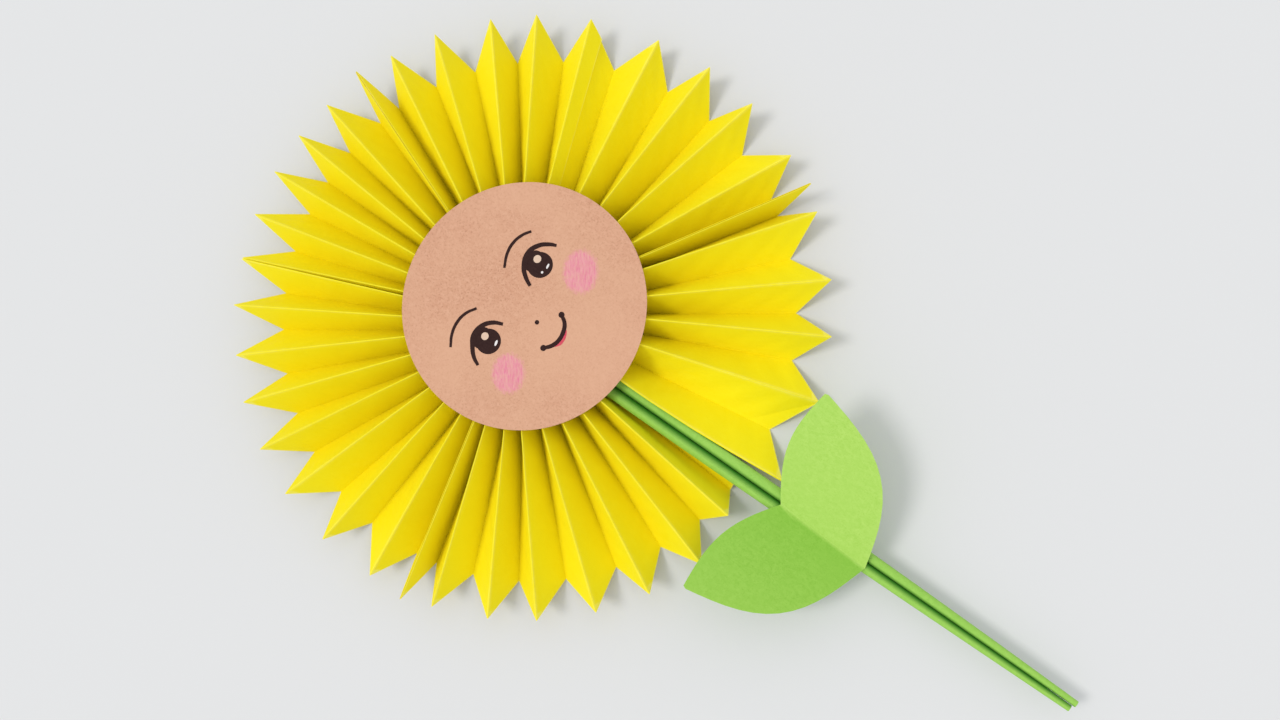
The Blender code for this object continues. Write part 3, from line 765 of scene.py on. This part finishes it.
strokeSettings = {
    "penWidth": 1.48,
    "flatness": 0.09,  # a stroke's thickness as a share of its width
    "startSize": 0.01,  # of the curve before its knots are set
    "curveSteps": 10,
    "bevelSteps": 5,
    # how high over the card each kind of mark lies
    "lift": {"stroke": 0.05, "lip": 0.01, "dot": 0.03, "shine": 0.08},
    # knots in millimetres from the disc's middle, with the stroke's width there as a share of the pen's
    "strokes": {
        "lashRight": [(6.7, 1.5, 0.8), (8.3, 4.4, 1.0), (11.0, 7.1, 1.15), (15.7, 8.6, 1.2),
                      (19.4, 7.2, 1.1), (22.1, 4.0, 0.95), (23.1, 1.6, 0.7)],
        "lashLeft": [(-25.5, 1.3, 0.7), (-23.8, 4.3, 0.95), (-21.1, 6.7, 1.1), (-18.0, 8.4, 1.2),
                     (-13.8, 7.9, 1.15), (-10.7, 5.3, 1.0), (-9.2, 2.0, 0.75)],
        "browRight": [(7.0, 12.7, 0.6), (11.8, 14.7, 0.72), (15.9, 15.0, 0.75), (19.6, 13.9, 0.7),
                      (22.5, 11.9, 0.6)],
        "browLeft": [(-25.7, 12.9, 0.6), (-21.7, 15.1, 0.7), (-17.2, 15.9, 0.75), (-13.4, 15.2, 0.7),
                     (-9.7, 12.9, 0.6)],
        "smile": [(4.3, -13.5, 0.85), (2.6, -15.8, 0.95), (0.0, -17.1, 1.05), (-3.6, -17.4, 1.05),
                  (-6.4, -16.2, 0.95), (-8.2, -14.5, 0.85)],
    },
    # each lid is an arc of ink round an iris: centre, radius, from and to in degrees
    "lids": {"lidRight": ((14.5, 2.7), 4.95, 34.0, 150.0), "lidLeft": ((-16.8, 2.9), 4.9, 38.0, 154.0)},
    "lidShares": [0.35, 0.8, 1.0, 1.05, 1.0, 0.8, 0.35],
    "lidTuck": 0.85,
    "lip": [(1.0, -17.7, 0.2), (-1.3, -18.2, 0.85), (-3.7, -18.2, 0.95), (-5.8, -17.4, 0.25)],
    "lipWidth": 1.8,
}
spotSettings = {
    "segments": 40,
    "rings": 14,
    "thickness": 0.06,
    # dots of ink, bare card left in the eyes, and dashes of white pen: place, half width, half height, turn
    "dot": {
        "smileEndRight": (4.4, -13.3, 1.05, 1.05, 0.0),
        "smileEndLeft": (-8.3, -14.4, 1.05, 1.05, 0.0),
        "noseDot": (-2.3, -7.6, 0.78, 0.78, 0.0),
        "irisRight": (14.5, 2.7, 4.5, 4.5, 0.0),
        "irisLeft": (-16.8, 2.9, 4.4, 4.4, 0.0),
    },
    "shine": {
        "shineRight": (15.7, 4.6, 1.4, 1.35, 0.0),
        "shineLeft": (-16.0, 4.9, 1.35, 1.3, 0.0),
    },
    "glint": {
        "glintRight": (15.6, 0.15, 0.95, 0.36, 8.0),
        "glintRightDot": (12.8, 0.6, 0.42, 0.42, 0.0),
        "glintLeft": (-15.8, 0.3, 1.05, 0.42, 12.0),
    },
}
markFinish = {
    "wobbleReach": 0.035,  # millimetres
    "wobbleScale": 900.0,
    "smoothBelow": math.radians(60),
}


def cardPoint(x, y, lift):
    return Vector((discMiddle.x + x * mm, discMiddle.y + y * mm, discHigh.z + lift * mm))


def roughen(piece, settings):
    # an ink line is never quite even
    for vertex in piece.data.vertices:
        wobble = noise.noise_vector(vertex.co * settings["wobbleScale"]) * settings["wobbleReach"] * mm
        vertex.co += Vector((wobble.x, wobble.y, 0.0))


def finishMark(piece, material):
    roughen(piece, markFinish)
    dress(piece, material)
    settle(piece)
    makeActive(piece)
    bpy.ops.object.shade_smooth_by_angle(angle=markFinish["smoothBelow"])
    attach(piece, "root")


def penStroke(name, knots, width, material, lift, settings):
    deselectAll()
    bpy.ops.curve.primitive_bezier_curve_add(radius=settings["startSize"])
    stroke = bpy.context.active_object
    stroke.name = name
    stroke.location = (0.0, 0.0, 0.0)
    spline = stroke.data.splines[0]
    spline.bezier_points.add(len(knots) - 2)
    for knot, (x, y, share) in zip(spline.bezier_points, knots):
        knot.co = cardPoint(x, y, lift)
        knot.handle_left_type = knot.handle_right_type = "AUTO"
        knot.radius = share
    stroke.data.dimensions = "3D"
    stroke.data.resolution_u = settings["curveSteps"]
    stroke.data.bevel_depth = 0.5 * width * mm
    stroke.data.bevel_resolution = settings["bevelSteps"]
    stroke.data.use_fill_caps = True
    bpy.ops.object.convert(target="MESH")
    stroke = bpy.context.active_object
    editAll(stroke)
    bpy.ops.transform.resize(
        value=(1.0, 1.0, settings["flatness"]), center_override=cardPoint(0.0, 0.0, lift))
    leaveEdit()
    finishMark(stroke, material)


def inkSpot(name, place, material, lift, settings):
    x, y, across, along, turn = place
    deselectAll()
    bpy.ops.mesh.primitive_uv_sphere_add(
        segments=settings["segments"], ring_count=settings["rings"], radius=1.0, location=(0.0, 0.0, 0.0))
    spot = bpy.context.active_object
    spot.name = name
    spot.scale = (across * mm, along * mm, settings["thickness"] * mm)
    spot.rotation_euler = (0.0, 0.0, math.radians(turn))
    spot.location = cardPoint(x, y, lift)
    bpy.ops.object.transform_apply(location=True, rotation=True, scale=True)
    finishMark(spot, material)


def lidKnots(centre, radius, start, end, settings):
    # thin ends run in under the iris, so that they leave no spur
    knots = []
    shares = settings["lidShares"]
    for index, share in enumerate(shares):
        angle = math.radians(start + (end - start) * index / (len(shares) - 1))
        reach = radius - settings["lidTuck"] * (1.0 - min(share, 1.0))
        knots.append((centre[0] + reach * math.cos(angle), centre[1] + reach * math.sin(angle), share))
    return knots


def drawFace(settings, spots):
    lift = settings["lift"]
    lids = {name: lidKnots(*arc, settings) for name, arc in settings["lids"].items()}
    for name, knots in {**settings["strokes"], **lids}.items():
        penStroke(name, knots, settings["penWidth"], inks["penInk"], lift["stroke"], settings)
    penStroke("lipTint", settings["lip"], settings["lipWidth"], inks["lipPencil"], lift["lip"], settings)
    kinds = (("dot", "penInk", "dot"), ("shine", "eyeShine", "shine"), ("glint", "whitePen", "shine"))
    for kind, ink, height in kinds:
        for name, place in spots[kind].items():
            inkSpot(name, place, inks[ink], lift[height], spots)


drawFace(strokeSettings, spotSettings)
print("face drawn")


# Table, light and camera
tableSettings = {
    "size": 6.0,
    "drop": 0.1 * mm,
    "colour": (0.71, 0.71, 0.712),
    "lighter": 1.01,
    "tintGrain": (3.0, 2.0, 0.55),  # scale, then grain
    "tintBand": (0.3, 0.7),
    "roughness": 0.85,
    "gloss": 0.1,
}
lightSettings = {
    "sunToward": (-0.35, 0.41, 1.0),
    "sunStrength": 1.0,
    "sunSoftness": math.radians(18.0),
    "sunColour": (1.0, 0.985, 0.96),
    "skyStrength": 0.85,
    "skyColour": (0.96, 0.98, 1.0, 1.0),
    "backdropColour": (0.86, 0.87, 0.88, 1.0),
}
cameraSettings = {
    "place": (1.96, -119.6, 424.25),  # millimetres from the hub
    "right": (0.5537, -0.8201, -0.1444),
    "up": (0.8326, 0.5425, 0.1118),
    "focalPixels": 1244.0,
    "pictureWidth": 1280.0,
    "sensorWidth": 36.0,
    "nearest": 0.01,
}


def makeTable(settings):
    deselectAll()
    bpy.ops.mesh.primitive_plane_add(size=settings["size"], location=(0.0, 0.0, -settings["drop"]))
    floor = bpy.context.active_object
    floor.name = "table"
    material, tree, shader, coords = newMaterial("tableTop")
    tint = mapRange(tree, noiseOf(tree, coords, *settings["tintGrain"]), *settings["tintBand"])
    lighter = tuple(settings["lighter"] * value for value in settings["colour"])
    tree.links.new(mixColors(tree, tint, settings["colour"], lighter), shader.inputs["Base Color"])
    shader.inputs["Roughness"].default_value = settings["roughness"]
    shader.inputs["Specular IOR Level"].default_value = settings["gloss"]
    dress(floor, material)


def makeLight(settings):
    bpy.ops.object.light_add(type="SUN", location=(0.0, 0.0, 1.0))
    sun = bpy.context.active_object
    sun.name = "windowLight"
    sun.rotation_euler = Vector(settings["sunToward"]).to_track_quat("Z", "Y").to_euler()
    sun.data.energy = settings["sunStrength"]
    sun.data.angle = settings["sunSoftness"]
    sun.data.color = settings["sunColour"]

    world = bpy.data.worlds.new("softRoom")
    bpy.context.scene.world = world
    world.use_nodes = True
    nodes = world.node_tree.nodes
    links = world.node_tree.links
    sky = nodes["Background"]
    sky.inputs["Color"].default_value = settings["skyColour"]
    sky.inputs["Strength"].default_value = settings["skyStrength"]
    backdrop = nodes.new("ShaderNodeBackground")
    backdrop.inputs["Color"].default_value = settings["backdropColour"]
    backdrop.inputs["Strength"].default_value = 1.0
    pick = nodes.new("ShaderNodeMixShader")
    path = nodes.new("ShaderNodeLightPath")
    links.new(path.outputs["Is Camera Ray"], pick.inputs[0])
    links.new(sky.outputs[0], pick.inputs[1])
    links.new(backdrop.outputs[0], pick.inputs[2])
    links.new(pick.outputs[0], nodes["World Output"].inputs["Surface"])


def makeCamera(settings):
    right = Vector(settings["right"]).normalized()
    up = Vector(settings["up"])
    up = (up - right * up.dot(right)).normalized()
    turn = Matrix((right, up, right.cross(up))).transposed().to_4x4()
    bpy.ops.object.camera_add()
    camera = bpy.context.active_object
    camera.name = "photoCamera"
    camera.matrix_world = Matrix.Translation(hub + Vector(settings["place"]) * mm) @ turn
    camera.data.sensor_width = settings["sensorWidth"]
    camera.data.lens = settings["sensorWidth"] * settings["focalPixels"] / settings["pictureWidth"]
    camera.data.clip_start = settings["nearest"]
    bpy.context.scene.camera = camera


makeTable(tableSettings)
makeLight(lightSettings)
makeCamera(cameraSettings)
bpy.context.scene.view_settings.view_transform = "Standard"
print("stage set")

deselectAll()
